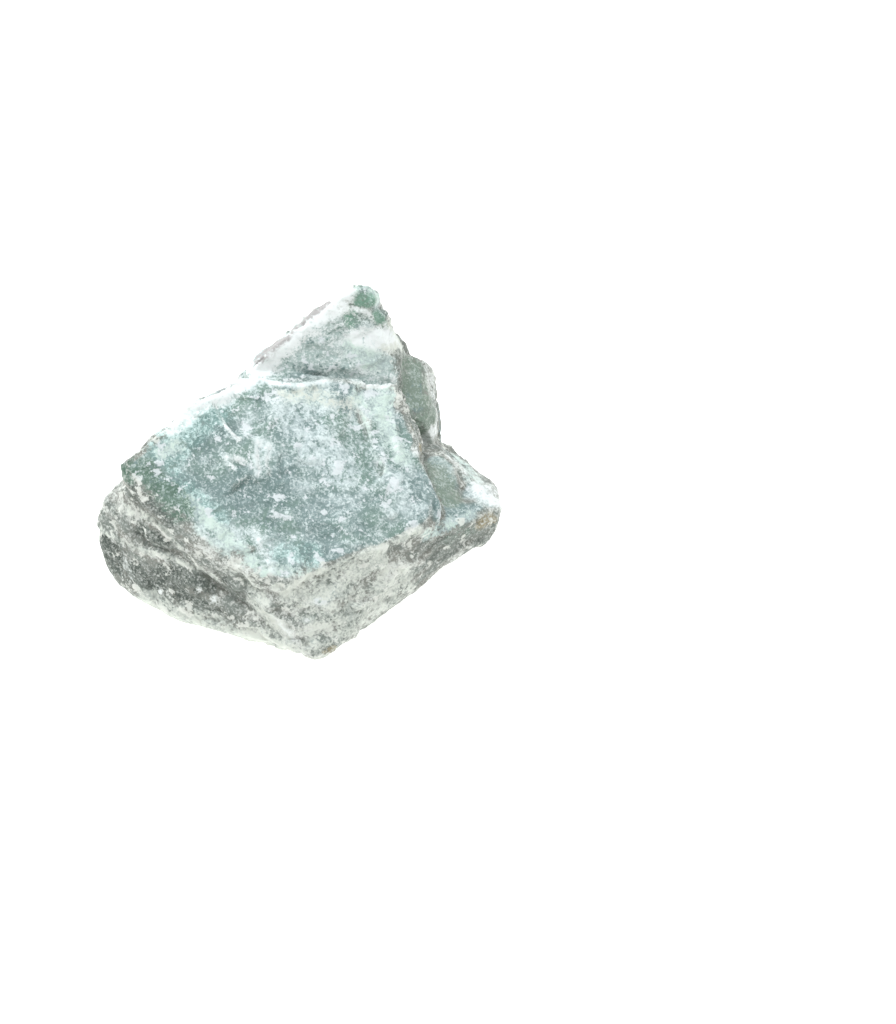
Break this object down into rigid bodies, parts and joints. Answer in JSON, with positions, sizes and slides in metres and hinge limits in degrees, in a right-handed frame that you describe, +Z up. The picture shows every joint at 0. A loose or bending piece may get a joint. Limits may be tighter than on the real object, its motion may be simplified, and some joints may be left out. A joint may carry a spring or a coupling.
{
  "type": "raw green quartz",
  "caption": "Rough broken chunk of green quartz: a tilted top face, a pointed crest behind it, a low shoulder that ends in a point, and a flat broken face to rest on.",
  "frame": {"origin": "centre of the stone's bounding box in X and Y, on the flat face it rests on", "axes": "+X to the right along the stone's longest extent, +Y from the low toe at the front to the crest at the back, +Z up from the resting face"},
  "size_m": [0.0482, 0.0466, 0.0238],
  "materials": {
    "green_quartz": "rough broken"
  },
  "bodies": {
    "root": {"green_quartz_stone": "green_quartz"}
  },
  "joints": []
}
